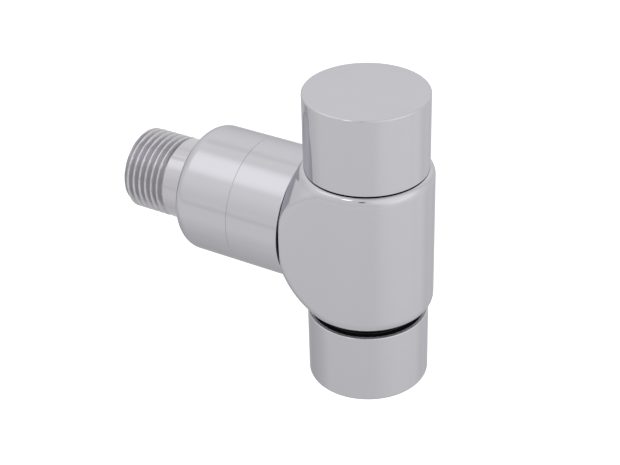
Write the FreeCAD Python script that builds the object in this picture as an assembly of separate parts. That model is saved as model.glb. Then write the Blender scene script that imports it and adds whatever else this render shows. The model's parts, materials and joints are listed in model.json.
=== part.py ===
import FreeCAD
import Part
import math
import os

from FreeCAD import Vector

# Angled radiator valve with plain chrome covers. All sizes are in millimetres.
#
# The spindle axis is vertical (Z) and the tail runs level towards -X. Pieces are drawn with the crossing
# of the two axes at zero and are moved at the end, so that the model's origin is the centre of the
# radiator thread's inner end, where the radiator's port face comes.

# ---- Driving dimensions --------------------------------------------------------------------------------

# Valve body
body_r = 16.0             # front barrel, and half the distance between the two flat cheeks
body_top = 17.95          # top face above the crossing of the axes
body_bottom = -18.8       # bottom face
tail_face_inset = 0.25    # tail face, nearer to the spindle axis than the cheeks are
ball_bulge = 6.7          # rounded back beyond the barrel, at the level of the tail axis
ball_top_inset = 0.7      # the same surface inside the barrel, at the height of the top face
ball_bottom_inset = 0.6   # and at the height of the bottom face
top_rim_inset = 0.8       # front barrel's rim where it meets the top face
top_rim_drop = 1.9
bottom_rim_inset = 0.7    # and where it meets the bottom face
bottom_rim_rise = 2.1
rim_arc_in = 0.3          # share of a rim's inset at the middle of its arc
rim_arc_down = 0.32       # and share of its height
body_edge_r = 0.7         # soft edge around the cheeks and the tail face
waterway_r = 7.0
chamber_r = 9.0
chamber_top = 5.0
chamber_floor = -12.5
seat_r = 5.0
seat_lip_r = 6.4
seat_z = -9.5
seat_throat = 4.5         # straight bore under the seat
throat_flare = 1.0
outlet_overlap = 2.0      # outlet's start inside the chamber

# Handwheel
wheel_r = 15.05
wheel_gap = 0.5           # between the body's top face and the wheel
wheel_height = 19.4
wheel_wall = 1.3
wheel_top_wall = 1.65
wheel_edge = 0.45         # fine bevel round the flat top
liner_wall = 1.0
liner_rise = 0.75         # liner's lower rim above the wheel's
liner_disc = 2.5
hub_r = 7.0
grip_rise = 2.4           # spring clip above the gland nut
clip_width = 0.9
clip_depth = 0.9
clip_slot = 2.0

# Spindle, bonnet and closing unit
spindle_r = 4.0
spindle_thread_r = 3.5    # left-hand driving thread
spindle_end = 2.6
spindle_square = 5.4
spindle_square_gap = 0.8  # square above the gland nut
spindle_square_length = 4.4
collar_r = 6.0
collar_thickness = 2.35
oring_section = 1.1
ring_groove = 1.4         # width of a groove for a ring
spindle_ring_drops = (3.65, 1.05)   # the two rings below the body's top face
bonnet_thread_r = 10.0
bonnet_flange_r = 12.1
bonnet_flange = 1.3
bonnet_hex = 21.0
bonnet_hex_rise = 5.0     # hexagon's top above the body's top face
neck_r = 8.0
neck_length = 3.05
washer_thickness = 0.5
gland_hex = 19.0
gland_corner = 0.6        # gland nut's turned corners beyond its flats
gland_cap = 2.0           # gland nut beyond the neck
plug_hex = 13.0
plug_low = -7.0
plug_high = 8.0
plug_bore_floor = -1.5
plug_lift = 3.75
plug_head_room = 0.4      # left above the raised plug
plug_foot_r = 6.8
plug_foot = 2.0
washer_r = 6.6
screw_r = 1.5
screw_reach = 3.5         # screw's length in the plug
screw_head_r = 2.8
screw_head = 1.8

# Pipe inlet, for a 15 mm pipe
pipe_r = 7.5
pipe_clearance = 0.05
olive_wall = 1.4          # olive's belt beyond the pipe
inlet_wall = 1.58         # wall of the threaded inlet around the olive's seat
inlet_length = 17.2       # threaded inlet below the body
pipe_depth = 11.0         # depth of the pipe's socket
inlet_channel_r = 6.4
olive_belt = 0.5
nut_wall = 1.52           # nut's flats beyond its thread
nut_corner = 3.02         # and its turned corners
nut_gap = 5.7             # between the body and the compression nut
nut_length = 14.8
cover_ring_r = 0.65       # half the section of the ring that grips the cover
cover_ring_drop = 2.5     # that ring below the nut's top
cover_play = 0.55         # between the nut's corners and the cover
cover_wall = 1.0
cover_gap = 2.65          # black line between the body and the pipe cover
cover_length = 18.85
cover_edge = 0.8
gasket_depth = 1.2        # gasket's reach into the pipe cover

# Tail union and its covers, measured out from the spindle axis
union_thread_r = 12.0
union_length = 11.25      # threaded union beyond the tail face
snout_r = 8.45
snout_length = 4.4
collar_inset = 0.9        # tail's collar inside the union thread
collar_tail = 3.0
union_wall = 1.5          # union nut's flats beyond its thread
union_corner = 2.6        # and its turned corners
union_nut_gap = 3.75
union_nut_length = 13.5
union_ring_r = 0.6        # half the section of the rings that grip the sleeves
first_ring = 3.0          # the two rings, in from the nut's two ends
second_ring = 1.4
snout_ring = 2.3          # ring on the snout, in from the union's end
sleeve_play = 0.4         # between the nut's corners and the sleeves
sleeve_wall = 1.2
sleeve_edge = 0.4         # broken edge of the first sleeve, beside the body
sleeve_gap = 0.32         # black line between the body and the first sleeve
gasket_reach = 1.6        # gasket's reach into that sleeve
first_sleeve = 14.38      # from the gap to the fine line between the two sleeves
seam_gap = 0.04
cap_travel = 7.4          # from the tail cap's end to the radiator's port face
cap_edge_r = 4.0
cap_wall = 6.6
cap_ring = 2.64           # ring in the cap's nose, in from the nose's inner face
cap_play = 0.12           # cap's bore over the thread's crests
nipple_r = 10.2
nipple_bore_r = 5.75
thread_start = 54.5       # the radiator's port face comes here
thread_length = 11.8
thread_pitch = 1.814      # fourteen threads to the inch
thread_crest_r = 10.478
thread_root_r = 9.32
thread_land = 0.36        # flat crest of a ridge
thread_root_flat = 0.36
thread_relief = 1.0       # plain run from the neck down to the thread's root
key_hex = 12.0
key_depth = 9.0

# Clearances
turning = 0.05            # a shaft in its bore
fixed_gap = 0.05          # pieces that are screwed or pressed together
sliding = 0.1             # a cover over a ring
seal_gap = 0.02
small_edge = 0.15         # broken edge of a thin cover
over = 1.0                # how far a cutting shape passes the face it cuts

# ---- Sizes that follow ---------------------------------------------------------------------------------

tail_face = body_r - tail_face_inset
bonnet_low = chamber_top
bonnet_hex_high = body_top + bonnet_hex_rise
neck_high = bonnet_hex_high + neck_length
neck_recess_z = bonnet_hex_high + fixed_gap
collar_low = neck_recess_z + washer_thickness + turning
collar_high = collar_low + collar_thickness
gland_high = neck_high + gland_cap
spindle_square_low = gland_high + spindle_square_gap
spindle_square_high = spindle_square_low + spindle_square_length
ball_waist_r = body_r + ball_bulge
ball_top_r = body_r - ball_top_inset
ball_bottom_r = body_r - ball_bottom_inset
top_rim_r = body_r - top_rim_inset
bottom_rim_r = body_r - bottom_rim_inset
wheel_low = body_top + wheel_gap
wheel_high = wheel_low + wheel_height
wheel_inner_r = wheel_r - wheel_wall
wheel_ceiling = wheel_high - wheel_top_wall
inlet_end = body_bottom - inlet_length
pipe_stop = inlet_end + pipe_depth
nut_top = body_bottom - nut_gap
nut_bottom = nut_top - nut_length
cover_top = body_bottom - cover_gap
olive_r = pipe_r + olive_wall
inlet_thread_r = olive_r + inlet_wall
nut_hex = 2 * (inlet_thread_r + nut_wall)
nut_corner_r = inlet_thread_r + nut_corner
cover_inner_r = nut_corner_r + cover_play
cover_r = cover_inner_r + cover_wall
cover_bottom = cover_top - cover_length
union_end = tail_face + union_length
union_nut_start = tail_face + union_nut_gap
union_nut_end = union_nut_start + union_nut_length
collar_tail_r = union_thread_r - collar_inset
union_hex = 2 * (union_thread_r + union_wall)
union_corner_r = union_thread_r + union_corner
sleeve_inner_r = union_corner_r + sleeve_play
sleeve_r = sleeve_inner_r + sleeve_wall
sleeve_start = tail_face + sleeve_gap
seam = sleeve_start + first_sleeve
cap_end = thread_start - cap_travel
cap_bore_r = thread_crest_r + cap_play
cap_floor = cap_end - cap_wall
cap_ring_z = cap_floor + cap_ring
oring_r = oring_section / 2
grip_low = gland_high + grip_rise - clip_width / 2
plug_ceiling = plug_high + plug_lift + plug_head_room
pipe_bore_r = pipe_r + pipe_clearance
thread_end = thread_start + thread_length
up = Vector(0, 0, 1)


# ---- Helpers -------------------------------------------------------------------------------------------

def rod(radius, low, high):
    """A plain cylinder on the Z axis."""
    return Part.makeCylinder(radius, high - low, Vector(0, 0, low))


def tube(outer, inner, low, high):
    """A plain ring or sleeve on the Z axis."""
    return rod(outer, low, high).cut(rod(inner, low - over, high + over))


def groove(surface_r, floor_r, height):
    """Cutting ring for a groove, from its floor out past the surface."""
    return tube(surface_r + over, floor_r, height - ring_groove / 2, height + ring_groove / 2)


def hexagon(across_flats, low, high):
    """A hexagonal bar on the Z axis, with a flat on either side of Y."""
    corner = across_flats / math.sqrt(3)
    points = []
    for step in range(6):
        turn = math.radians(60 * step)
        points.append(Vector(corner * math.cos(turn), corner * math.sin(turn), low))
    face = Part.Face(Part.makePolygon(points + points[:1]))
    return face.extrude(Vector(0, 0, high - low))


def square_bar(width, low, high):
    """A square bar on the Z axis."""
    return Part.makeBox(width, width, high - low, Vector(-width / 2, -width / 2, low))


def turned(*outline):
    """A solid turned about Z. The outline is (radius, height) points; a triple of them is an arc."""
    edges = []
    here = Vector(outline[0][0], 0, outline[0][1])
    for item in outline[1:] + outline[:1]:
        if isinstance(item[0], tuple):
            middle, end = [Vector(r, 0, z) for r, z in item]
            edges.append(Part.Arc(here, middle, end).toShape())
        else:
            end = Vector(item[0], 0, item[1])
            if end.distanceToPoint(here) > 1e-6:
                edges.append(Part.makeLine(here, end))
        here = end
    face = Part.Face(Part.Wire(edges))
    return face.revolve(Vector(0, 0, 0), up, 360)


def oring(middle_r, height, section_r):
    """A rubber ring of round section."""
    return Part.makeTorus(middle_r, section_r, Vector(0, 0, height), up)


def to_tail(shape):
    """Lays a piece drawn upright along the tail: height becomes distance towards the radiator."""
    laid = shape.copy()
    laid.rotate(Vector(0, 0, 0), Vector(0, 1, 0), -90)
    return laid


# ---- Valve body ----------------------------------------------------------------------------------------

def front_barrel():
    """Upright barrel with a rounded rim at the top and at the bottom."""
    top_knee = (body_r, body_top - top_rim_drop)
    top_middle = (body_r - rim_arc_in * top_rim_inset, body_top - rim_arc_down * top_rim_drop)
    bottom_knee = (body_r, body_bottom + bottom_rim_rise)
    bottom_middle = (body_r - rim_arc_in * bottom_rim_inset, body_bottom + rim_arc_down * bottom_rim_rise)
    barrel = turned((0, body_bottom), (bottom_rim_r, body_bottom), (bottom_middle, bottom_knee),
                    top_knee, (top_middle, (top_rim_r, body_top)), (0, body_top))
    behind = Part.makeBox(body_r, 2 * body_r, body_top - body_bottom + 2 * over,
                          Vector(body_edge_r - tail_face - body_r, -body_r, body_bottom - over))
    return barrel.cut(behind)


def rounded_back():
    """Back half: a ball between two flat cheeks, cut flat where the tail leaves it."""
    rise = body_top - body_bottom
    block = Part.makeBox(tail_face, 2 * body_r, rise, Vector(-tail_face, -body_r, body_bottom))
    lower_arc = (ball_middle(ball_bottom_r, body_bottom), (ball_waist_r, 0))
    upper_arc = (ball_middle(ball_top_r, body_top), (ball_top_r, body_top))
    ball = turned((0, body_bottom), (ball_bottom_r, body_bottom), lower_arc, upper_arc, (0, body_top))
    back = block.common(ball)
    soft = [edge for edge in back.Edges if is_soft(edge)]
    return back.makeFillet(body_edge_r, soft)


def ball_middle(end_r, end_z):
    """Middle of the arc that leaves the ball's waist upright and ends at a given radius and height."""
    drop = ball_waist_r - end_r
    arc_r = (drop ** 2 + end_z ** 2) / (2 * drop)
    half_turn = math.asin(abs(end_z) / arc_r) / 2
    rise = math.copysign(arc_r * math.sin(half_turn), end_z)
    return (ball_waist_r - arc_r * (1 - math.cos(half_turn)), rise)


def is_soft(edge):
    """True for the edges around the cheeks and the tail face."""
    middle = edge.valueAt((edge.FirstParameter + edge.LastParameter) / 2)
    on_cheek = abs(abs(middle.y) - body_r) < 1e-4
    on_tail_face = abs(middle.x + tail_face) < 1e-4
    on_joint = abs(middle.x) < 1e-4
    on_end = min(abs(middle.z - body_top), abs(middle.z - body_bottom)) < 1e-4
    return (on_cheek or on_tail_face) and not on_joint and not on_end


def valve_body():
    """Body with its inlet and union spigots, water chamber, seat and bonnet thread."""
    outside = front_barrel().fuse(rounded_back())
    inlet = rod(inlet_thread_r, inlet_end, body_bottom + over)
    union = to_tail(rod(union_thread_r, tail_face - over, union_end))
    solid = outside.fuse([inlet, union])
    throat_low = seat_z - seat_throat
    pipe_socket = turned((0, inlet_end - over), (olive_r, inlet_end - over), (olive_r, inlet_end),
                         (pipe_bore_r, inlet_end + olive_r - pipe_bore_r), (pipe_bore_r, pipe_stop),
                         (inlet_channel_r, pipe_stop), (inlet_channel_r, throat_low - throat_flare),
                         (seat_r, throat_low), (seat_r, seat_z + over), (0, seat_z + over))
    chamber = tube(chamber_r, seat_lip_r, chamber_floor, seat_z)
    chamber = chamber.fuse(rod(chamber_r, seat_z, chamber_top))
    bonnet_bore = rod(bonnet_thread_r + fixed_gap, chamber_top, body_top + over)
    ring_seat = rod(bonnet_thread_r + oring_section + 4 * seal_gap, body_top - ring_groove, body_top + over)
    outlet = to_tail(rod(waterway_r, chamber_r - outlet_overlap, union_end + over))
    snout_socket = to_tail(rod(snout_r + fixed_gap, union_end - snout_length - 2 * sliding, union_end + over))
    return solid.cut([pipe_socket, chamber, bonnet_bore, ring_seat, outlet, snout_socket])


# ---- Bonnet, spindle and closing unit ------------------------------------------------------------------

def bonnet():
    """Brass head: screwed into the body, guides the plug in a hexagon and carries the spindle."""
    shank = rod(bonnet_thread_r, bonnet_low, body_top)
    flange = rod(bonnet_flange_r, body_top, body_top + bonnet_flange)
    nut = hexagon(bonnet_hex, body_top + bonnet_flange, bonnet_hex_high)
    neck = rod(neck_r, bonnet_hex_high, neck_high)
    guide = hexagon(plug_hex + 4 * turning, bonnet_low - over, plug_ceiling)
    bore = rod(spindle_r + turning, bonnet_low, neck_high)
    recess = rod(collar_r + sliding, neck_recess_z, neck_high + over)
    return shank.fuse([flange, nut, neck]).cut([guide, bore, recess])


def bonnet_oring():
    """Ring that seals the bonnet to the body."""
    middle_r = bonnet_thread_r + seal_gap + oring_r
    return oring(middle_r, body_top - oring_r - 2 * seal_gap, oring_r)


def spindle():
    """Turns with the handwheel and doesn't rise; its lower end drives the plug."""
    shaft = rod(spindle_thread_r, spindle_end, plug_ceiling)
    shaft = shaft.fuse([rod(spindle_r, plug_ceiling, spindle_square_low),
                        rod(collar_r, collar_low, collar_high),
                        square_bar(spindle_square, spindle_square_low, spindle_square_high)])
    return shaft.cut([groove(spindle_r, groove_floor_r(), z) for z in spindle_ring_places()])


def groove_floor_r():
    """Floor of the spindle's ring grooves."""
    return spindle_r - oring_section + turning - 2 * seal_gap


def spindle_ring_places():
    """Heights of the spindle's two rings."""
    return [body_top - drop for drop in spindle_ring_drops]


def spindle_orings():
    """Two rings that seal the spindle in the bonnet."""
    middle_r = groove_floor_r() + seal_gap + oring_r
    return Part.makeCompound([oring(middle_r, z, oring_r) for z in spindle_ring_places()])


def thrust_washer():
    """Slippery washer under the spindle's collar."""
    return tube(collar_r, spindle_r + turning, neck_recess_z, neck_recess_z + washer_thickness)


def gland_nut():
    """Cap nut that keeps the spindle's collar in the bonnet."""
    low = bonnet_hex_high + 2 * sliding
    nut = hexagon(gland_hex, low, gland_high).common(rod(gland_hex / 2 + gland_corner, low, gland_high))
    thread = rod(neck_r + fixed_gap, low - over, neck_high)
    return nut.cut([thread, rod(spindle_r + turning, low, gland_high + over)])


def plug_carrier():
    """Slides in the bonnet's hexagon as the spindle turns, and holds the washer."""
    stem = hexagon(plug_hex, plug_low + plug_foot, plug_high)
    foot = rod(plug_foot_r, plug_low, plug_low + plug_foot)
    drive = rod(spindle_thread_r + turning, plug_bore_floor, plug_high + over)
    screw = rod(screw_r, plug_low - over, plug_low + screw_reach + over / 2)
    return stem.fuse(foot).cut([drive, screw])


def seat_washer():
    """Soft washer that closes the seat."""
    return tube(washer_r, screw_r + fixed_gap, seat_z, plug_low)


def washer_screw():
    """Brass screw that holds the washer."""
    return rod(screw_head_r, seat_z - screw_head, seat_z).fuse(rod(screw_r, seat_z, plug_low + screw_reach))


# ---- Handwheel -----------------------------------------------------------------------------------------

def handwheel_shell():
    """Plain round cap with a flat top and a fine bevel."""
    return turned((wheel_inner_r, wheel_low), (wheel_r, wheel_low), (wheel_r, wheel_high - wheel_edge),
                  (wheel_r - wheel_edge, wheel_high), (0, wheel_high), (0, wheel_ceiling),
                  (wheel_inner_r, wheel_ceiling))


def handwheel_hub():
    """Black moulding that lines the cap and fits over the spindle's square."""
    liner = tube(wheel_inner_r, wheel_inner_r - liner_wall, wheel_low + liner_rise, wheel_ceiling)
    disc = rod(wheel_inner_r - liner_wall, wheel_ceiling - liner_disc, wheel_ceiling)
    boss = rod(hub_r, spindle_square_low, wheel_ceiling - liner_disc)
    seat_high = grip_low + clip_width + fixed_gap
    clip_seat = tube(hub_r + over, hub_r - clip_depth, grip_low - fixed_gap, seat_high)
    socket = square_bar(spindle_square + 2 * fixed_gap, gland_high, spindle_square_high + sliding)
    return liner.fuse([disc, boss]).cut([socket, clip_seat])


def hub_clip():
    """Spring clip that makes the hub grip the spindle, open on one side."""
    ring = tube(hub_r - sliding, hub_r - clip_depth, grip_low, grip_low + clip_width)
    slot = Part.makeBox(hub_r, clip_slot, clip_width + 2 * over, Vector(0, -clip_slot / 2, grip_low - over))
    return ring.cut(slot)


# ---- Pipe inlet ----------------------------------------------------------------------------------------

def inlet_gasket():
    """Black ring under the body that centres the pipe cover."""
    return tube(cover_inner_r - sliding, inlet_thread_r + fixed_gap, cover_top - gasket_depth, body_bottom)


def compression_nut():
    """Hexagon nut, its corners turned to go inside the cover."""
    nut = hexagon(nut_hex, nut_bottom, nut_top).common(rod(nut_corner_r, nut_bottom, nut_top))
    mouth_r = pipe_bore_r + sliding
    cone_top = inlet_end - olive_belt
    thread_r = inlet_thread_r + fixed_gap
    hollow = turned((0, nut_bottom - over), (mouth_r, nut_bottom - over),
                    (mouth_r, cone_top - (olive_r - mouth_r)), (olive_r, cone_top), (thread_r, cone_top),
                    (thread_r, nut_top + over), (0, nut_top + over))
    floor_r = cover_inner_r - 2 * cover_ring_r - small_edge
    return nut.cut([hollow, groove(nut_corner_r, floor_r, nut_top - cover_ring_drop)])


def compression_olive():
    """Soft brass ring squeezed on the pipe, with a cone at each end."""
    belt_r = olive_r - sliding
    inner_r = pipe_bore_r + fixed_gap
    cone = belt_r - inner_r - small_edge
    tip_r = belt_r - cone
    low_belt = inlet_end - olive_belt
    return turned((inner_r, low_belt - cone), (tip_r, low_belt - cone), (belt_r, low_belt),
                  (belt_r, inlet_end), (tip_r, inlet_end + cone), (inner_r, inlet_end + cone))


def pipe_cover_oring():
    """Ring on the compression nut that grips the pipe cover."""
    return oring(cover_inner_r - seal_gap - cover_ring_r, nut_top - cover_ring_drop, cover_ring_r)


def pipe_cover():
    """Plain sleeve over the compression nut; it slides along the pipe."""
    lean = cover_edge * (1 - math.sqrt(0.5))
    edge_arc = ((cover_r - lean, cover_bottom + lean), (cover_r, cover_bottom + cover_edge))
    return turned((cover_inner_r, cover_bottom), (cover_r - cover_edge, cover_bottom), edge_arc,
                  (cover_r, cover_top - small_edge), (cover_r - small_edge, cover_top),
                  (cover_inner_r, cover_top))


# ---- Tail ----------------------------------------------------------------------------------------------

def tail_nipple():
    """Tail with a snout for the union, a collar, a plain neck and the radiator thread."""
    snout = rod(snout_r, union_end - snout_length, union_end)
    collar = rod(collar_tail_r, union_end, union_end + collar_tail)
    neck = rod(nipple_r, union_end + collar_tail, thread_start - thread_relief)
    body = snout.fuse([collar, neck, thread_ridges()])
    bore = rod(nipple_bore_r, union_end - snout_length - over, thread_end + over)
    key = hexagon(key_hex, thread_end - key_depth, thread_end + over)
    return body.cut([bore, key, groove(snout_r, snout_r - oring_section, union_end - snout_ring)])


def thread_ridges():
    """Radiator thread as a row of ridges, each with a flat crest."""
    flank = (thread_pitch - thread_land - thread_root_flat) / 2
    neck_end = thread_start - thread_relief
    outline = [(0, neck_end), (nipple_r, neck_end), (thread_root_r, thread_start - seal_gap)]
    ridge = thread_start
    while ridge + thread_land < thread_end:
        if ridge > thread_start:
            outline.append((thread_root_r, ridge - flank))
        outline.append((thread_crest_r, ridge))
        outline.append((thread_crest_r, ridge + thread_land))
        outline.append((thread_root_r, min(ridge + thread_land + flank, thread_end)))
        ridge += thread_pitch
    outline.append((thread_root_r, thread_end))
    outline.append((0, thread_end))
    return turned(*outline)


def union_nut():
    """Hexagon nut that draws the tail onto the body, its corners turned to go inside the sleeves."""
    nut = hexagon(union_hex, union_nut_start, union_nut_end)
    nut = nut.common(rod(union_corner_r, union_nut_start, union_nut_end))
    thread = rod(union_thread_r + fixed_gap, union_nut_start - over, union_end + collar_tail)
    opening = rod(cap_bore_r, union_nut_start, union_nut_end + over)
    floor_r = sleeve_inner_r - 2 * union_ring_r - 2 * sliding
    grooves = [groove(union_corner_r, floor_r, z) for z in ring_places()]
    return nut.cut([thread, opening] + grooves)


def ring_places():
    """Where the union nut's two rings sit, one under each sleeve."""
    return (union_nut_start + first_ring, union_nut_end - second_ring)


def union_nut_orings():
    """Rings on the union nut that grip the sleeves."""
    rings = [oring(sleeve_inner_r - seal_gap - union_ring_r, z, union_ring_r) for z in ring_places()]
    return Part.makeCompound(rings)


def union_oring():
    """Ring on the tail's snout that seals it in the body."""
    return oring(snout_r + fixed_gap - seal_gap - oring_r, union_end - snout_ring, oring_r)


def union_gasket():
    """Black ring behind the line between body and sleeve."""
    return tube(sleeve_inner_r - sliding, union_thread_r + fixed_gap, tail_face, sleeve_start + gasket_reach)


def union_sleeve():
    """Plain sleeve over the union nut."""
    end = seam - seam_gap / 2
    return turned((sleeve_inner_r, sleeve_start), (sleeve_r - sleeve_edge, sleeve_start),
                  (sleeve_r, sleeve_start + sleeve_edge), (sleeve_r, end), (sleeve_inner_r, end))


def tail_cap():
    """Second sleeve, closed round the neck by a domed end."""
    start = seam + seam_gap / 2
    lean = cap_edge_r * (1 - math.sqrt(0.5))
    dome_r, dome_z = sleeve_r - cap_edge_r, cap_end - cap_edge_r
    nose_r = max(cap_bore_r, dome_r)
    nose_z = dome_z + math.sqrt(cap_edge_r ** 2 - (nose_r - dome_r) ** 2)
    dome = ((sleeve_r - lean, cap_end - lean), (nose_r, nose_z))
    cap = turned((sleeve_inner_r, start), (sleeve_r, start), (sleeve_r, dome_z), dome,
                 (cap_bore_r, nose_z), (cap_bore_r, cap_floor), (sleeve_inner_r, cap_floor))
    groove_r = nipple_r + oring_section + 2 * seal_gap
    return cap.cut(tube(groove_r, nipple_r, cap_ring_z - ring_groove / 2, cap_ring_z + ring_groove / 2))


def tail_cap_oring():
    """Ring in the cap's nose that grips the neck."""
    return oring(nipple_r + seal_gap + oring_r, cap_ring_z, oring_r)


# ---- Assembly ------------------------------------------------------------------------------------------

pieces = {
    "valve_body": valve_body(),
    "bonnet": bonnet(),
    "bonnet_oring": bonnet_oring(),
    "spindle": spindle(),
    "spindle_orings": spindle_orings(),
    "thrust_washer": thrust_washer(),
    "gland_nut": gland_nut(),
    "plug_carrier": plug_carrier(),
    "seat_washer": seat_washer(),
    "washer_screw": washer_screw(),
    "handwheel_shell": handwheel_shell(),
    "handwheel_hub": handwheel_hub(),
    "hub_clip": hub_clip(),
    "inlet_gasket": inlet_gasket(),
    "compression_nut": compression_nut(),
    "compression_olive": compression_olive(),
    "pipe_cover_oring": pipe_cover_oring(),
    "pipe_cover": pipe_cover(),
    "tail_nipple": to_tail(tail_nipple()),
    "union_nut": to_tail(union_nut()),
    "union_nut_orings": to_tail(union_nut_orings()),
    "union_oring": to_tail(union_oring()),
    "union_gasket": to_tail(union_gasket()),
    "union_sleeve": to_tail(union_sleeve()),
    "tail_cap": to_tail(tail_cap()),
    "tail_cap_oring": to_tail(tail_cap_oring()),
}

os.makedirs("parts", exist_ok=True)
for name, shape in pieces.items():
    shape.translate(Vector(thread_start, 0, 0))
    shape.exportStep(os.path.join("parts", name + ".step"))
    print(name, "valid" if shape.isValid() else "NOT VALID", len(shape.Solids), round(shape.Volume, 1))
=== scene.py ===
import json
import math

import bmesh
import bpy
import numpy as np
from mathutils import Matrix, Vector

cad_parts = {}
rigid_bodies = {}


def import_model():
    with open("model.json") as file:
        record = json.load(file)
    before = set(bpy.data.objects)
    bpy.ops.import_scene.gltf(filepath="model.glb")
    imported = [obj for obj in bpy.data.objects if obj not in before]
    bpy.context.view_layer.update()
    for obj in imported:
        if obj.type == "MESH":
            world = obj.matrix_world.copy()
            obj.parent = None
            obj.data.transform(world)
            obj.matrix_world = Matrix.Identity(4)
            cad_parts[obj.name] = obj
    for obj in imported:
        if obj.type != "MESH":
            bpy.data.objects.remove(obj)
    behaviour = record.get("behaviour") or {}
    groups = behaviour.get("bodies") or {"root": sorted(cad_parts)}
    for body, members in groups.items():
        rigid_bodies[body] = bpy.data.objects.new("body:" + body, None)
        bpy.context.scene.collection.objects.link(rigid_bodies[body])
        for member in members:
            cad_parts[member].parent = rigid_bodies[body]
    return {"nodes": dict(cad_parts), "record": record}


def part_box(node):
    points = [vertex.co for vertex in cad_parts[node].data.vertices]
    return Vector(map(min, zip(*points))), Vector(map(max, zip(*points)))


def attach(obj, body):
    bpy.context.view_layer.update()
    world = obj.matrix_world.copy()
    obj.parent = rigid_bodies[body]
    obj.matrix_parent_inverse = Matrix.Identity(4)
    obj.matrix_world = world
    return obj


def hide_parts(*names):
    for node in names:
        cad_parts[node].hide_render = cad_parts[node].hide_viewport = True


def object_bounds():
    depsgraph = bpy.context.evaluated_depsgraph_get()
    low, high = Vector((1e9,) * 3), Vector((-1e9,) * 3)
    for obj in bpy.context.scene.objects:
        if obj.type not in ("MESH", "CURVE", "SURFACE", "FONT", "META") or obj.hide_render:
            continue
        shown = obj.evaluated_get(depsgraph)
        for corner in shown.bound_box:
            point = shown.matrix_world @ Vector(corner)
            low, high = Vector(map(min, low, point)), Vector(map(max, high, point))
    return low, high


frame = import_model()
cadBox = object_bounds()

mm = 0.001
sharpAngle = math.radians(32)      # a surface that turns more than this shows an edge
ringColumns = 240                  # faces around a rubber ring
sleeveColumns = 320                # around a sleeve, the wheel or the body
nutColumns = 360                   # around a nut or the thread


# Lowest and highest place of a CAD node along one axis, in millimetres
def nodeSpan(node, axis):
    low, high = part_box(node)
    return low[axis] / mm, high[axis] / mm


# Half the width of a CAD node along one axis, in millimetres
def nodeRadius(node, axis):
    low, high = nodeSpan(node, axis)
    return (high - low) / 2


# The spindle stands in the middle of the handwheel
spindleX = sum(nodeSpan("handwheel_shell", 0)) / 2


# Near and far end of a tail piece, out from the spindle
def tailSpan(node):
    low, high = nodeSpan(node, 0)
    return spindleX - high, spindleX - low


print("frame loaded, spindle axis at x =", round(spindleX, 2), "mm")


# Points of a round corner between two straight runs
def bendCorner(before, corner, after, radius, steps):
    back = (before - corner) / np.linalg.norm(before - corner)
    on = (after - corner) / np.linalg.norm(after - corner)
    half = math.acos(np.clip(np.dot(back, on), -1, 1)) / 2
    reach = radius / math.tan(half)
    middle = corner + (back + on) / np.linalg.norm(back + on) * radius / math.sin(half)
    start, end = corner + back * reach, corner + on * reach
    first = math.atan2(*(start - middle)[::-1])
    sweep = math.atan2(*(end - middle)[::-1]) - first
    sweep = (sweep + math.pi) % (2 * math.pi) - math.pi
    turns = [first + sweep * k / steps for k in range(steps + 1)]
    return [middle + radius * np.array([math.cos(t), math.sin(t)]) for t in turns]


# Closed outline from (radius, height, corner radius); a short run beside each corner keeps the flats flat
def softOutline(corners, steps=8, keep=0.06):
    flat = [np.array(c[:2], float) for c in corners]
    points = []
    for i, corner in enumerate(corners):
        before, here, after = flat[i - 1], flat[i], flat[(i + 1) % len(flat)]
        if corner[2] > 0:
            bend = bendCorner(before, here, after, corner[2], steps)
        else:
            bend = [here]
        lead = (before - here) / np.linalg.norm(before - here)
        trail = (after - here) / np.linalg.norm(after - here)
        points += [bend[0] + lead * keep] + bend + [bend[-1] + trail * keep]
    return points


# A closed mesh from a grid of points: rows along the outline, columns around the axis
def meshObject(name, points, columns, material):
    rows = len(points) // columns
    faces = []
    for r in range(rows):
        for c in range(columns):
            a, b = r * columns + c, r * columns + (c + 1) % columns
            up = ((r + 1) % rows) * columns
            faces.append((a, b, up + (c + 1) % columns, up + c))
    mesh = bpy.data.meshes.new(name)
    mesh.from_pydata([tuple(p * mm) for p in points], [], faces)
    mesh.validate()
    piece = bpy.data.objects.new(name, mesh)
    bpy.context.scene.collection.objects.link(piece)
    finishMesh(piece)
    piece.data.materials.append(material)
    return piece


# Smooth shading, with sharp edges where the surface really turns
def shadePiece(piece):
    piece.data.shade_smooth()
    piece.data.set_sharp_from_angle(angle=sharpAngle)


# Doubled points merged and faces turned outward
def finishMesh(piece):
    work = bmesh.new()
    work.from_mesh(piece.data)
    bmesh.ops.remove_doubles(work, verts=work.verts, dist=1e-7)
    bmesh.ops.recalc_face_normals(work, faces=work.faces)
    work.to_mesh(piece.data)
    work.free()
    shadePiece(piece)


# Place on a piece turned about the spindle axis
def standUp(radius, height, angle):
    return np.stack([spindleX + radius * np.cos(angle), radius * np.sin(angle), height + 0 * angle], -1)


# Place on a piece turned about the tail axis; out is measured from the spindle
def layDown(radius, out, angle):
    return np.stack([spindleX - out + 0 * angle, radius * np.cos(angle), radius * np.sin(angle)], -1)


# Grid of points for an outline turned about an axis; shapeRow can change a row's radius
def turnedGrid(outline, place, columns, shapeRow=None):
    angle = np.arange(columns) * 2 * math.pi / columns
    rows = []
    for radius, height in outline:
        around = np.full(columns, radius)
        if shapeRow:
            around = shapeRow(around, height, angle)
        rows.append(place(around, height, angle))
    return np.concatenate(rows)


# A closed piece turned about the spindle or the tail axis
def turnedPiece(name, corners, place, material, columns, steps=8, shapeRow=None):
    grid = turnedGrid(softOutline(corners, steps), place, columns, shapeRow)
    return meshObject(name, grid, columns, material)


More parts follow.
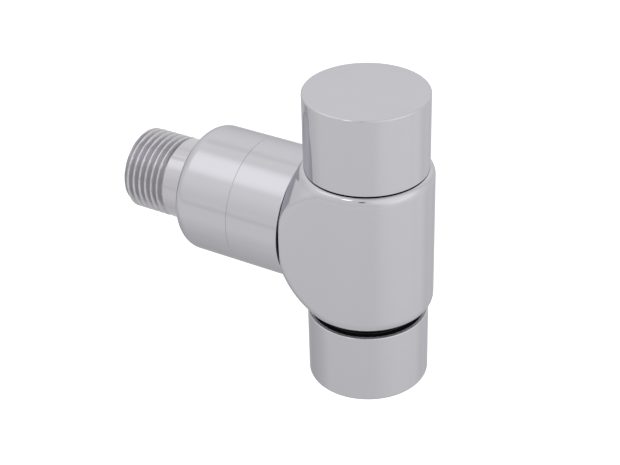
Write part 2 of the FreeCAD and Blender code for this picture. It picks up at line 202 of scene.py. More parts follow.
# One object from several closed meshes
def joinPieces(name, pieces):
    for other in bpy.context.view_layer.objects:
        other.select_set(other in pieces)
    bpy.context.view_layer.objects.active = pieces[0]
    bpy.ops.object.join()
    pieces[0].name = name
    pieces[0].select_set(False)
    return pieces[0]


# Row shape of a hexagon whose corners are turned down to a radius
def hexLimit(acrossFlats, cornerR, turn=0.0):
    def shape(around, height, angle):
        step = (angle + turn) % (math.pi / 3) - math.pi / 6
        return np.minimum(around, np.minimum(acrossFlats / 2 / np.cos(step), cornerR))
    return shape


# An empty shader group with named sockets
def newGroup(name, inputs, outputs):
    group = bpy.data.node_groups.new(name, "ShaderNodeTree")
    for label, default in inputs:
        socket = group.interface.new_socket(label, in_out="INPUT", socket_type="NodeSocketFloat")
        socket.default_value = default
    for label, kind in outputs:
        group.interface.new_socket(label, in_out="OUTPUT", socket_type=kind)
    entry = group.nodes.new("NodeGroupInput")
    leave = group.nodes.new("NodeGroupOutput")
    return group, entry, leave


def addNode(tree, kind, **settings):
    node = tree.nodes.new(kind)
    for key, value in settings.items():
        setattr(node, key, value)
    return node


# Object coordinates scaled to the grain of an effect
def objectPlace(tree, grain):
    coords = addNode(tree, "ShaderNodeTexCoord")
    mapping = addNode(tree, "ShaderNodeMapping")
    mapping.inputs["Scale"].default_value = (grain, grain, grain)
    tree.links.new(coords.outputs["Object"], mapping.inputs["Vector"])
    return mapping.outputs["Vector"]


# A socket takes what another node puts out, or a plain number
def feed(tree, socket, value):
    if hasattr(value, "links"):
        tree.links.new(value, socket)
    else:
        socket.default_value = value


def rangeNode(tree, source, low, high, outLow, outHigh, **settings):
    node = addNode(tree, "ShaderNodeMapRange", **settings)
    labels = ("Value", "From Min", "From Max", "To Min", "To Max")
    for label, value in zip(labels, (source, low, high, outLow, outHigh)):
        feed(tree, node.inputs[label], value)
    return node.outputs["Result"]


def mathNode(tree, operation, *values):
    node = addNode(tree, "ShaderNodeMath", operation=operation)
    for socket, value in zip(node.inputs, values):
        feed(tree, socket, value)
    return node.outputs["Value"]


# Noise that stays with the piece; the grain is in cells to the metre
def noiseNode(tree, grain, detail, roughness=0.5):
    noise = addNode(tree, "ShaderNodeTexNoise")
    noise.inputs["Scale"].default_value = 1
    noise.inputs["Detail"].default_value = detail
    noise.inputs["Roughness"].default_value = roughness
    tree.links.new(objectPlace(tree, grain), noise.inputs["Vector"])
    return noise.outputs["Fac"]


polishGrain = {
    "cloud": 70,              # cells to the metre
    "cloudDetail": 5,
    "cloudRoughness": 0.6,
    "hazeFrom": 0.45,         # part of the noise that counts as haze
    "hazeTo": 0.75,
    "ripple": 160,
    "rippleDetail": 2,
}


# Polished plate: soft haze left by wiping, and the faint waviness under the plating
def buildPolishGroup(s):
    group, entry, leave = newGroup(
        "platePolish",
        [("Clean", 0.05), ("Hazy", 0.12), ("Wave", 0.02)],
        [("Roughness", "NodeSocketFloat"), ("Height", "NodeSocketFloat"), ("Haze", "NodeSocketFloat")])
    cloud = noiseNode(group, s["cloud"], s["cloudDetail"], s["cloudRoughness"])
    haze = rangeNode(group, cloud, s["hazeFrom"], s["hazeTo"], 0.0, 1.0)
    rough = rangeNode(group, haze, 0.0, 1.0, entry.outputs["Clean"], entry.outputs["Hazy"])
    ripple = noiseNode(group, s["ripple"], s["rippleDetail"])
    swell = mathNode(group, "MULTIPLY", ripple, entry.outputs["Wave"])
    group.links.new(rough, leave.inputs["Roughness"])
    group.links.new(swell, leave.inputs["Height"])
    group.links.new(haze, leave.inputs["Haze"])
    return group


latheGrain = {
    "lines": 5200,            # tool lines to the metre
    "linesDetail": 3,
    "blot": 240,
    "blotDetail": 6,
    "blotShare": 0.5,
    "smoothAt": 0.35,         # levels of the noise that give the smooth and the rough value
    "roughAt": 0.65,
}


# Fine tool lines left by turning, running round the piece
def buildLatheGroup(s):
    group, entry, leave = newGroup(
        "latheLines",
        [("Along X", 1.0), ("Depth", 0.5), ("Smooth", 0.2), ("Rough", 0.4)],
        [("Roughness", "NodeSocketFloat"), ("Height", "NodeSocketFloat"), ("Shade", "NodeSocketFloat")])
    coords = addNode(group, "ShaderNodeTexCoord")
    split = addNode(group, "ShaderNodeSeparateXYZ")
    group.links.new(coords.outputs["Object"], split.inputs["Vector"])
    pick = addNode(group, "ShaderNodeMix", data_type="FLOAT")
    group.links.new(entry.outputs["Along X"], pick.inputs["Factor"])
    group.links.new(split.outputs["Z"], pick.inputs[2])
    group.links.new(split.outputs["X"], pick.inputs[3])
    lines = addNode(group, "ShaderNodeTexNoise", noise_dimensions="1D")
    lines.inputs["Scale"].default_value = s["lines"]
    lines.inputs["Detail"].default_value = s["linesDetail"]
    group.links.new(pick.outputs[0], lines.inputs["W"])
    both = addNode(group, "ShaderNodeMix", data_type="FLOAT")
    both.inputs["Factor"].default_value = s["blotShare"]
    group.links.new(lines.outputs["Fac"], both.inputs[2])
    group.links.new(noiseNode(group, s["blot"], s["blotDetail"]), both.inputs[3])
    shade = both.outputs[0]
    rough = rangeNode(group, shade, s["smoothAt"], s["roughAt"],
                      entry.outputs["Smooth"], entry.outputs["Rough"])
    height = mathNode(group, "MULTIPLY", lines.outputs["Fac"], entry.outputs["Depth"])
    group.links.new(rough, leave.inputs["Roughness"])
    group.links.new(height, leave.inputs["Height"])
    group.links.new(shade, leave.inputs["Shade"])
    return group


polishGroup = buildPolishGroup(polishGrain)
latheGroup = buildLatheGroup(latheGrain)


def startMaterial(name, metallic, baseColor):
    material = bpy.data.materials.new(name)
    material.use_nodes = True
    tree = material.node_tree
    shader = tree.nodes["Principled BSDF"]
    shader.inputs["Metallic"].default_value = metallic
    shader.inputs["Base Color"].default_value = (*baseColor, 1)
    return material, tree, shader


# Strength of each kind of surface's bump, and its depth in metres
plateBump = (0.35, 0.0004)
turnedBump = (0.4, 0.00004)
mouldedBump = (0.25, 0.00003)
speckDetail = 6
speckRange = (0.3, 0.7)            # levels of the speckle that give the smooth and the rough value


def addBump(tree, shader, height, strength, distance):
    bump = addNode(tree, "ShaderNodeBump")
    bump.inputs["Strength"].default_value = strength
    bump.inputs["Distance"].default_value = distance
    tree.links.new(height, bump.inputs["Height"])
    tree.links.new(bump.outputs["Normal"], shader.inputs["Normal"])


# Base colour that moves between two tints with a mask
def tintBetween(tree, shader, mask, low, high):
    mix = addNode(tree, "ShaderNodeMix", data_type="RGBA")
    mix.inputs[6].default_value = (*low, 1)
    mix.inputs[7].default_value = (*high, 1)
    tree.links.new(mask, mix.inputs["Factor"])
    tree.links.new(mix.outputs[2], shader.inputs["Base Color"])


def polishedPlate(name, clean, hazy, tint, hazeTint, edgeTint):
    material, tree, shader = startMaterial(name, 1.0, tint)
    polish = addNode(tree, "ShaderNodeGroup", node_tree=polishGroup)
    polish.inputs["Clean"].default_value = clean
    polish.inputs["Hazy"].default_value = hazy
    tree.links.new(polish.outputs["Roughness"], shader.inputs["Roughness"])
    tintBetween(tree, shader, polish.outputs["Haze"], tint, hazeTint)
    shader.inputs["Specular Tint"].default_value = (*edgeTint, 1)
    addBump(tree, shader, polish.outputs["Height"], *plateBump)
    return material


def turnedMetal(name, alongX, smooth, rough, dark, light, depth):
    material, tree, shader = startMaterial(name, 1.0, light)
    lathe = addNode(tree, "ShaderNodeGroup", node_tree=latheGroup)
    for label, value in (("Along X", alongX), ("Depth", depth), ("Smooth", smooth), ("Rough", rough)):
        lathe.inputs[label].default_value = value
    tree.links.new(lathe.outputs["Roughness"], shader.inputs["Roughness"])
    tintBetween(tree, shader, lathe.outputs["Shade"], dark, light)
    addBump(tree, shader, lathe.outputs["Height"], *turnedBump)
    return material


def mouldedMaterial(name, low, high, smooth, rough, grain):
    material, tree, shader = startMaterial(name, 0.0, low)
    speck = noiseNode(tree, grain, speckDetail)
    tree.links.new(rangeNode(tree, speck, *speckRange, smooth, rough), shader.inputs["Roughness"])
    tintBetween(tree, shader, speck, low, high)
    addBump(tree, shader, speck, *mouldedBump)
    return material


chromeFinish = {"clean": 0.04, "hazy": 0.085, "tint": (0.718, 0.710, 0.755),
                "hazeTint": (0.731, 0.723, 0.768), "edgeTint": (0.7, 0.7, 0.72)}
tailFinish = {"alongX": 1.0, "smooth": 0.06, "rough": 0.13, "depth": 0.04,
              "dark": (0.68, 0.665, 0.70), "light": (0.75, 0.735, 0.765)}
nutFinish = {"alongX": 0.0, "smooth": 0.14, "rough": 0.3, "depth": 0.5,
             "dark": (0.56, 0.555, 0.56), "light": (0.74, 0.735, 0.74)}
brassFinish = {"alongX": 0.0, "smooth": 0.2, "rough": 0.36, "depth": 0.5,
               "dark": (0.60, 0.43, 0.19), "light": (0.80, 0.61, 0.31)}
steelFinish = {"alongX": 0.0, "smooth": 0.18, "rough": 0.34, "depth": 0.5,
               "dark": (0.50, 0.50, 0.51), "light": (0.72, 0.72, 0.73)}
rimFinish = {"alongX": 0.0, "smooth": 0.5, "rough": 0.65, "depth": 0.3,
             "dark": (0.78, 0.78, 0.78), "light": (0.88, 0.88, 0.88)}
# Thread roots: a rougher cut finish, and darker colours that are painted shade in the thread's hollows
rootFinishAndShade = {"alongX": 1.0, "smooth": 0.16, "rough": 0.28, "depth": 0.2,
              "dark": (0.52, 0.515, 0.54), "light": (0.66, 0.65, 0.68)}
rubberFinish = {"low": (0.006, 0.006, 0.007), "high": (0.012, 0.012, 0.013),
                "smooth": 0.4, "rough": 0.6, "grain": 900}
# near-black glossy rubber of the rings in the gaps, darker than the plain rubber: painted shade in the gaps
glossGapShadeFinish = {"low": (0.002, 0.002, 0.002), "high": (0.004, 0.004, 0.004),
               "smooth": 0.1, "rough": 0.2, "grain": 700}
mouldFinish = {"low": (0.010, 0.010, 0.011), "high": (0.018, 0.018, 0.019),
               "smooth": 0.45, "rough": 0.65, "grain": 1400}
washerFinish = {"low": (0.72, 0.72, 0.70), "high": (0.82, 0.82, 0.80),
                "smooth": 0.35, "rough": 0.5, "grain": 800}

chromePlate = polishedPlate("chromePlate", **chromeFinish)
tailPlate = turnedMetal("tailPlate", **tailFinish)
# Between the thread's crests: rougher, with a darker colour as painted shade
shadedThreadRoot = turnedMetal("shadedThreadRoot", **rootFinishAndShade)
nutPlate = turnedMetal("nutPlate", **nutFinish)
turnedBrass = turnedMetal("turnedBrass", **brassFinish)
turnedSteel = turnedMetal("turnedSteel", **steelFinish)
bareRim = turnedMetal("bareRim", **rimFinish)
blackRubber = mouldedMaterial("blackRubber", **rubberFinish)
glossGapShadeRubber = mouldedMaterial("glossGapShadeRubber", **glossGapShadeFinish)
blackMoulding = mouldedMaterial("blackMoulding", **mouldFinish)
whiteWasher = mouldedMaterial("whiteWasher", **washerFinish)
print("materials ready")


bodyShape = {
    "barrelR": nodeRadius("valve_body", 1),     # also the cheeks' distance from the middle
    "top": nodeSpan("valve_body", 2)[1],
    "bottom": nodeSpan("inlet_gasket", 2)[1],
    "tailFace": tailSpan("union_gasket")[0],
    "inletEnd": nodeSpan("valve_body", 2)[0],
    "unionEnd": tailSpan("valve_body")[1],
    "ballWaistR": 22.7,
    "ballTopR": 15.3,
    "ballBottomR": 15.4,
    "barrelRim": 1.6,
    "cheekEdge": 0.7,
    "endEdge": 0.3,
    "barrelBlend": 0.8,
    "spigotRoot": 1,          # how far the spigot starts inside the body
    "spigotEdge": 0.5,
    "spigotColumns": 160,
    "snoutEdge": 0.3,
    "mouthEdge": 0.5,
    "ringSeatDepth": 1.4,
    "bonnetR": 10.05,
    "ringSeatR": 11.2,
    "inletR": 10.48,
    "socketR": 7.55,
    "socketStop": -25.0,
    "channelR": 6.4,
    "seatR": 5.0,
    "seatLipR": 6.4,
    "seatTop": -9.5,
    "seatEdge": 0.3,
    "seatNeck": (5.5, 4.5),   # the narrowing under the seat, down from its top
    "chamberR": 9.0,
    "chamberFloor": -12.5,
    "chamberTop": 5.0,
    "coneR": 8.9,
    "unionR": 12.0,
    "unionBore": 7.0,
    "snoutR": 8.5,
    "snoutDepth": 4.6,
    "searchNear": 8.0,        # the skin is looked for between these distances from the middle
    "searchFar": 40.0,
    "halvings": 40,
    "nearCorner": 0.02,       # extra rows this share of a run away from its corners
    "rows": 300,
}


# Where both limits hold, with a round edge between them
def roundMax(a, b, radius):
    return (np.minimum(np.maximum(a, b), -radius)
            + np.hypot(np.maximum(a + radius, 0), np.maximum(b + radius, 0)))


# Where either limit holds, with a round hollow between them
def roundMin(a, b, radius):
    return -roundMax(-a, -b, radius)


# Distance outside the body's skin, by its barrel, cheeks, ball and flat faces
def bodyDistance(x, y, z, s):
    reach = np.hypot(x, y)
    ends = np.maximum(z - s["top"], s["bottom"] - z)
    barrel = roundMax(reach - s["barrelR"], ends, s["barrelRim"])
    upper, lower = s["ballWaistR"] - s["ballTopR"], s["ballWaistR"] - s["ballBottomR"]
    upperR = (upper ** 2 + s["top"] ** 2) / (2 * upper)
    lowerR = (lower ** 2 + s["bottom"] ** 2) / (2 * lower)
    arcR = np.where(z > 0, upperR, lowerR)
    ball = np.hypot(reach - (s["ballWaistR"] - arcR), z) - arcR
    cheeks = np.where(x > 0, reach, np.abs(y)) - s["barrelR"]
    back = roundMax(cheeks, ball, s["cheekEdge"])
    back = roundMax(back, -x - s["tailFace"], s["cheekEdge"])
    back = roundMax(back, ends, s["endEdge"])
    return roundMin(barrel, back, s["barrelBlend"])


# Rows of points from the bonnet opening over the outside to the inlet spigot
def bodySkin(s):
    first = math.atan2(s["ringSeatR"], s["top"])
    last = math.pi - math.atan2(s["inletR"], -s["bottom"])
    lean = np.linspace(first, last, s["rows"])[:, None]
    angle = (np.arange(sleeveColumns) * 2 * math.pi / sleeveColumns)[None, :]
    ux, uy = np.sin(lean) * np.cos(angle), np.sin(lean) * np.sin(angle)
    uz = np.cos(lean) + 0 * angle
    near, far = np.full(ux.shape, s["searchNear"]), np.full(ux.shape, s["searchFar"])
    for step in range(s["halvings"]):
        middle = (near + far) / 2
        outside = bodyDistance(middle * ux, middle * uy, middle * uz, s) > 0
        far = np.where(outside, middle, far)
        near = np.where(outside, near, middle)
    skin = np.stack([spindleX + near * ux, near * uy, near * uz], -1)
    return skin.reshape(-1, 3)


def buildBody(s):
    cone, ringSeat = s["coneR"] - s["socketR"], s["top"] - s["ringSeatDepth"]
    neckLow, neckHigh = (s["seatTop"] - depth for depth in s["seatNeck"])
    inside = [(s["inletR"], s["bottom"] - 0.05), (s["inletR"], s["inletEnd"] + s["mouthEdge"]),
              (s["inletR"] - s["mouthEdge"], s["inletEnd"]), (s["coneR"], s["inletEnd"]),
              (s["socketR"], s["inletEnd"] + cone), (s["socketR"], s["socketStop"]),
              (s["channelR"], s["socketStop"]), (s["channelR"], neckLow),
              (s["seatR"], neckHigh), (s["seatR"], s["seatTop"] - s["seatEdge"]),
              (s["seatR"] + s["seatEdge"], s["seatTop"]), (s["seatLipR"], s["seatTop"]),
              (s["seatLipR"], s["chamberFloor"]), (s["chamberR"], s["chamberFloor"]),
              (s["chamberR"], s["chamberTop"]), (s["bonnetR"], s["chamberTop"]),
              (s["bonnetR"], ringSeat), (s["ringSeatR"], ringSeat)]
    points = []
    for (r0, z0), (r1, z1) in zip(inside, inside[1:]):
        for share in (0, s["nearCorner"], 1 - s["nearCorner"]):
            points.append((r0 + (r1 - r0) * share, z0 + (z1 - z0) * share))
    points.append(inside[-1])
    grid = np.concatenate([bodySkin(s), turnedGrid(points, standUp, sleeveColumns)])
    skin = meshObject("valveBody", grid, sleeveColumns, chromePlate)
    spigot = turnedPiece("unionSpigot", [
        (s["unionBore"], s["tailFace"] - s["spigotRoot"], 0),
        (s["unionR"], s["tailFace"] - s["spigotRoot"], 0),
        (s["unionR"], s["unionEnd"], s["spigotEdge"]), (s["snoutR"], s["unionEnd"], s["snoutEdge"]),
        (s["snoutR"], s["unionEnd"] - s["snoutDepth"], 0),
        (s["unionBore"], s["unionEnd"] - s["snoutDepth"], 0.2)], layDown, chromePlate, s["spigotColumns"])
    return joinPieces("valveBody", [skin, spigot])


valveBody = buildBody(bodyShape)
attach(valveBody, "valve")
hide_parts("valve_body")
print("valve body made,", len(valveBody.data.vertices), "points")


wheelShape = {
    "wall": 1.3,
    "topWall": 1.65,
    "topEdge": 0.5,
    "rimEdge": 0.12,
    "insideEdge": 0.4,
    "centreR": 0.02,          # the grid's rows end this close to the axis
}


def buildWheel(s):
    low, high = nodeSpan("handwheel_shell", 2)
    outer = nodeRadius("handwheel_shell", 0)
    inner = outer - s["wall"]
    under = high - s["topWall"]
    corners = [(s["centreR"], high, 0), (outer, high, s["topEdge"]), (outer, low, s["rimEdge"]),
               (inner, low, s["rimEdge"]), (inner, under, s["insideEdge"]), (s["centreR"], under, 0)]
    return turnedPiece("handwheelShell", corners, standUp, chromePlate, sleeveColumns)


handwheelShell = buildWheel(wheelShape)
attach(handwheelShell, "handwheel")
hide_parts("handwheel_shell")
print("handwheel made")


coverShape = {"wall": 1.0, "topEdge": 0.28, "bottomEdge": 0.8, "insideEdge": 0.15, "flatDepth": 0.01}


def buildPipeCover(s):
    low, high = nodeSpan("pipe_cover", 2)
    outer = nodeRadius("pipe_cover", 0)
    inner = outer - s["wall"]
    corners = [(outer, high, s["topEdge"]), (outer, low, s["bottomEdge"]),
               (inner, low, s["insideEdge"]), (inner, high, s["insideEdge"])]
    cover = turnedPiece("pipeCover", corners, standUp, chromePlate, sleeveColumns)
    cover.data.materials.append(bareRim)
    for face in cover.data.polygons:               # the rim's flat face, where it was cut off
        if face.center.z > (high - s["flatDepth"]) * mm:
            face.material_index = 1
    return cover


pipeCover = buildPipeCover(coverShape)
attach(pipeCover, "pipe_cover")
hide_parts("pipe_cover")

compressionShape = {
    "acrossFlats": 24.0,
    "cornerR": 13.5,
    "mouthR": 7.65,
    "threadR": 10.53,
    "coneR": 8.9,
    "coneTop": -36.5,
    "chamfer": 1.1,
    "grooveR": 12.6,
    "grooveUnderTop": 2.5,
    "grooveHalf": 0.7,
    "over": 0.4,              # how far the turned blank stands out over the hexagon's corners
    "faceInset": 0.1,
    "insideR": 11.5,          # rows nearer the axis than this stay round
}


def buildCompressionNut(s):
    low, high = nodeSpan("compression_nut", 2)
    out, chamferR = s["cornerR"] + s["over"], s["acrossFlats"] / 2 - s["faceInset"]
    grooveZ = high - s["grooveUnderTop"]
    grooveTop, grooveLow = grooveZ + s["grooveHalf"], grooveZ - s["grooveHalf"]
    corners = [(chamferR, high, 0.1), (out, high - s["chamfer"], 0.2), (out, grooveTop, 0.05),
               (s["grooveR"], grooveTop, 0.1), (s["grooveR"], grooveLow, 0.1), (out, grooveLow, 0.05),
               (out, low + s["chamfer"], 0.2), (chamferR, low, 0.1),
               (s["mouthR"], low, 0.3), (s["mouthR"], s["coneTop"] - (s["coneR"] - s["mouthR"]), 0),
               (s["coneR"], s["coneTop"], 0), (s["threadR"], s["coneTop"], 0), (s["threadR"], high, 0.2)]
    shape = hexLimit(s["acrossFlats"], s["cornerR"])

    def outsideOnly(around, height, angle):
        return shape(around, height, angle) if around[0] > s["insideR"] else around
    return turnedPiece("compressionNut", corners, standUp, nutPlate, nutColumns, 6, outsideOnly)


compressionNut = buildCompressionNut(compressionShape)
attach(compressionNut, "valve")
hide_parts("compression_nut")


gasketShape = {
    "inletBore": 10.53,
    "inletNeckR": 12.3,       # its upper part, drawn in from the part inside the cover
    "inletLip": -0.4,         # top of the wider part, from the cover's rim
    "unionBore": 12.05,
    "gapShadeFlangeR": 16.0,     # thin flange that fills the gap beside the body; its near-black is painted shade in the gap
    "unionFlange": 0.28,
    "edge": 0.2,
}


# Black ring that centres the pipe cover: wide in the cover, drawn in where the gap shows; its near-black
# colour is painted shade in the gap
def buildInletGasket(s):
    low, high = nodeSpan("inlet_gasket", 2)
    outer, lip = nodeRadius("inlet_gasket", 1), nodeSpan("pipe_cover", 2)[1] + s["inletLip"]
    corners = [(outer, low, s["edge"]), (outer, lip, s["edge"]), (s["inletNeckR"], lip, s["edge"]),
               (s["inletNeckR"], high, 0), (s["inletBore"], high, 0), (s["inletBore"], low, s["edge"])]
    return turnedPiece("inletGasket", corners, standUp, glossGapShadeRubber, ringColumns)


def buildUnionGasket(s):
    near, far = tailSpan("union_gasket")
    outer, flange = nodeRadius("union_gasket", 1), near + s["unionFlange"]
    corners = [(s["gapShadeFlangeR"], near, 0), (s["gapShadeFlangeR"], flange, 0.05), (outer, flange, 0),
               (outer, far, s["edge"]), (s["unionBore"], far, s["edge"]), (s["unionBore"], near, 0)]
    return turnedPiece("unionGasket", corners, layDown, glossGapShadeRubber, ringColumns)


inletGasket = buildInletGasket(gasketShape)
unionGasket = buildUnionGasket(gasketShape)
for piece, node in ((inletGasket, "inlet_gasket"), (unionGasket, "union_gasket")):
    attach(piece, "valve")
    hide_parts(node)
print("pipe end made")


sleeveShape = {
    "wall": 1.2,
    "bodyEdge": 0.2,
    "seamEdge": 0.06,
    "domeR": 4.0,
    "domeSteps": 20,
    "noseR": 10.598,
    "noseWall": 6.6,
    "noseEdge": 0.3,
}


def buildUnionSleeve(s):
    near, far = tailSpan("union_sleeve")
    outer = nodeRadius("union_sleeve", 1)
    inner = outer - s["wall"]
    corners = [(outer, near, s["bodyEdge"]), (outer, far, s["seamEdge"]),
               (inner, far, 0.05), (inner, near, 0.1)]
    return turnedPiece("unionSleeve", corners, layDown, chromePlate, sleeveColumns)


def buildTailCap(s):
    near, far = tailSpan("tail_cap")
    outer = nodeRadius("tail_cap", 1)
    inner = outer - s["wall"]
    floor = far - s["noseWall"]
    corners = [(outer, near, s["seamEdge"]), (outer, far, s["domeR"]), (s["noseR"], far, s["noseEdge"]),
               (s["noseR"], floor, 0.2), (inner, floor, 0.3), (inner, near, 0.05)]
    return turnedPiece("tailCap", corners, layDown, chromePlate, sleeveColumns, s["domeSteps"])


unionSleeve = buildUnionSleeve(sleeveShape)
tailCap = buildTailCap(sleeveShape)
for piece, body in ((unionSleeve, "union_sleeve"), (tailCap, "tail_cap")):
    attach(piece, body)
    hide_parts(body)
print("tail sleeves made")


tailShape = {
    "snoutR": 8.45,
    "snoutLength": 4.4,
    "collarR": 11.1,
    "collar": 3.0,
    "neckR": 10.45,
    "boreR": 5.75,
    "ringGrooveR": 7.35,
    "grooveNear": 3.0,        # the ring groove's ends, back from the collar
    "grooveFar": 1.6,
    "threadStart": spindleX,
    "pitch": 1.814,
    "crestR": 10.478,
    "rootR": 9.32,
    "leadIn": 1.0,
    "endChamfer": 0.9,
    "endInset": 0.15,         # how far under the root the chamfer ends
    "keyFlats": 12.0,
    "keyDepth": 9.0,
    "crestFlat": 0.16,        # share of the pitch
    "rootFlat": 0.10,
    "soft": 0.25,             # how much of the flank is rounded
    "unshadedCrest": 0.22,      # depth of the part of a ridge left out of the painted shade
    "rowsPerPitch": 24,
    "keyMouth": 0.5,          # width and depth of the key socket's chamfer
    "keyMouthDepth": 0.4,
    "keyCorner": 0.1,         # how much of the hexagon's corners is left out
}


# Radius of the thread's surface: a rounded ridge that climbs one pitch in each turn
def threadRadius(out, angle, s, end):
    phase = ((out - s["threadStart"]) / s["pitch"] - angle / (2 * math.pi)) % 1.0
    wave = np.abs(phase - 0.5) * 2                 # 1 at a crest, 0 at a root
    ridge = np.clip((wave - s["rootFlat"]) / (1 - s["rootFlat"] - s["crestFlat"]), 0, 1)
    ridge = ridge * ridge * (3 - 2 * ridge) * s["soft"] + ridge * (1 - s["soft"])
    radius = s["rootR"] + (s["crestR"] - s["rootR"]) * ridge
    grow = np.clip((out - s["threadStart"] + s["leadIn"]) / s["leadIn"], 0, 1)
    shoulder = s["neckR"] + (s["rootR"] - s["neckR"]) * grow
    radius = np.where(grow < 1, np.minimum(radius, shoulder + 0 * angle), radius)
    rise = s["crestR"] - s["rootR"] + s["endInset"]
    chamfer = s["rootR"] - s["endInset"] + np.maximum(end - out, 0) * rise / s["endChamfer"]
    return np.minimum(radius, chamfer)


def buildTailNipple(s):
    near, end = tailSpan("tail_nipple")
    columns = nutColumns
    angle = np.arange(columns) * 2 * math.pi / columns
    collarNear = near + s["snoutLength"]
    collarFar = collarNear + s["collar"]
    threadLow = s["threadStart"] - s["leadIn"]
    grooveNear, grooveFar = collarNear - s["grooveNear"], collarNear - s["grooveFar"]
    lead = [(s["boreR"], near, 0.2), (s["snoutR"], near, 0.3), (s["snoutR"], grooveNear, 0.05),
            (s["ringGrooveR"], grooveNear, 0.1), (s["ringGrooveR"], grooveFar, 0.1),
            (s["snoutR"], grooveFar, 0.05), (s["snoutR"], collarNear, 0), (s["collarR"], collarNear, 0.2),
            (s["collarR"], collarFar, 0.2), (s["neckR"], collarFar, 0.1)]
    rows = [layDown(np.full(columns, r), out, angle) for r, out in softOutline(lead)[1:-1]]
    rows.append(layDown(np.full(columns, s["neckR"]), threadLow - 0.1, angle))
    count = int((end - threadLow) / s["pitch"] * s["rowsPerPitch"])
    for k in range(count + 1):
        out = threadLow + (end - threadLow) * k / count
        rows.append(layDown(threadRadius(np.full(columns, out), angle, s, end), out, angle))
    step = (angle + math.pi / 6) % (math.pi / 3) - math.pi / 6
    key = np.maximum(s["keyFlats"] / 2 / np.cos(step), s["boreR"])
    key = np.minimum(key, s["keyFlats"] / 2 / math.cos(math.pi / 6) - s["keyCorner"])
    mouth, mouthEnd, keyEnd = key + s["keyMouth"], end - s["keyMouthDepth"], end - s["keyDepth"]
    for radius, out in ((mouth + 0.05, end), (mouth, end), (key, mouthEnd), (key, mouthEnd - 0.2),
                        (key, keyEnd + 0.1), (key, keyEnd)):
        rows.append(layDown(radius, out, angle))
    bore = np.full(columns, s["boreR"] - 0.02)     # just inside the hexagon's rows
    for out in (keyEnd, keyEnd - 0.1, near + 0.5):
        rows.append(layDown(bore, out, angle))
    nipple = meshObject("tailNipple", np.concatenate(rows), columns, tailPlate)
    nipple.data.materials.append(shadedThreadRoot)
    rootShadeFrom, rootShadeTo = s["rootR"] - 0.5, s["crestR"] - s["unshadedCrest"]
    for face in nipple.data.polygons:              # rougher between the crests, where the tool cut, and darker there as painted shade in the thread's hollows
        out = spindleX - face.center.x / mm
        reach = math.hypot(face.center.y, face.center.z) / mm
        if threadLow < out < end - s["endChamfer"] and rootShadeFrom < reach < rootShadeTo:
            face.material_index = 1
    return nipple


tailNipple = buildTailNipple(tailShape)
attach(tailNipple, "valve")
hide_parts("tail_nipple")


unionNutShape = {
    "acrossFlats": 27.0,
    "cornerR": 14.6,
    "threadR": 12.05,
    "openR": 10.6,
    "lip": 3.0,
    "chamfer": 1.0,
    "farChamfer": 0.4,
    "grooveR": 13.6,
    "grooveHalf": 0.7,
    "rings": (3.0, 12.1),     # middles of the ring grooves, from the body's side
    "over": 0.4,
    "faceInset": 0.1,
    "insideR": 13.0,
}


def buildUnionNut(s):
    near, far = tailSpan("union_nut")
    out, chamferR = s["cornerR"] + s["over"], s["acrossFlats"] / 2 - s["faceInset"]
    chamferFar = far - s["farChamfer"]
    corners = [(s["threadR"], near, 0.2), (chamferR, near, 0.1), (out, near + s["chamfer"], 0.2)]
    for ring in s["rings"]:
        grooveNear, grooveFar = near + ring - s["grooveHalf"], near + ring + s["grooveHalf"]
        if grooveFar < chamferFar:
            corners += [(out, grooveNear, 0.05), (s["grooveR"], grooveNear, 0.1),
                        (s["grooveR"], grooveFar, 0.1), (out, grooveFar, 0.05)]
    corners += [(out, chamferFar, 0.1), (chamferR + s["farChamfer"], far, 0.1), (s["openR"], far, 0.2),
                (s["openR"], far - s["lip"], 0), (s["threadR"], far - s["lip"], 0)]
    shape = hexLimit(s["acrossFlats"], s["cornerR"], math.pi / 6)

    def outsideOnly(around, height, angle):
        return shape(around, height, angle) if around[0] > s["insideR"] else around
    return turnedPiece("unionNut", corners, layDown, nutPlate, nutColumns, 6, outsideOnly)


unionNut = buildUnionNut(unionNutShape)
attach(unionNut, "valve")
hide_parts("union_nut")
print("tail made")


# Finishes of the pieces whose CAD shape is kept
finishOf = {
    "brass": turnedBrass,
    "steel": turnedSteel,
    "rubber": blackRubber,
    "black_plastic": blackMoulding,
    "white_plastic": whiteWasher,
    "chrome": chromePlate,
    "tail_plating": tailPlate,
    "nut_plating": nutPlate,
}
slotOf = {part["node"]: part["material_slot"] for part in frame["record"]["subparts"]}
for node, piece in frame["nodes"].items():
    piece.data.materials.clear()
    piece.data.materials.append(finishOf[slotOf[node]])
    shadePiece(piece)
print("finishes given to", len(frame["nodes"]), "nodes")


studio = {
    "floorDrop": 60,          # millimetres under the lowest point
    "floorSize": 6.0,         # metres
    "floorWhite": 0.93,
    "floorRoughness": 0.8,
    "floorGlow": 0.5,
    "level": 0.77,            # of the whole tent
    "wall": 0.88,             # brightness of the tent's walls
    "floorDim": 0.10,         # how much of it is lost towards the floor
    "dimFrom": -0.44,         # heights between which it is lost, -1 straight down and 0 level
    "dimTo": -0.74,
    "fold": 0.07,             # darker line a little under the horizon
    "foldHeight": -0.105,
    "foldInner": 0.02,        # its half height at full strength, and where it has faded out
    "foldOuter": 0.09,
    "backdrop": 1.15,         # brightness of what shows behind the object
    "lens": 85.32,
    "distance": 355.75,       # from the crossing of the axes, millimetres
    "azimuth": 29.736,
    "elevation": 32.06,
    "roll": -0.461,
    "shiftX": -0.0927,
    "shiftY": -0.0026,
}

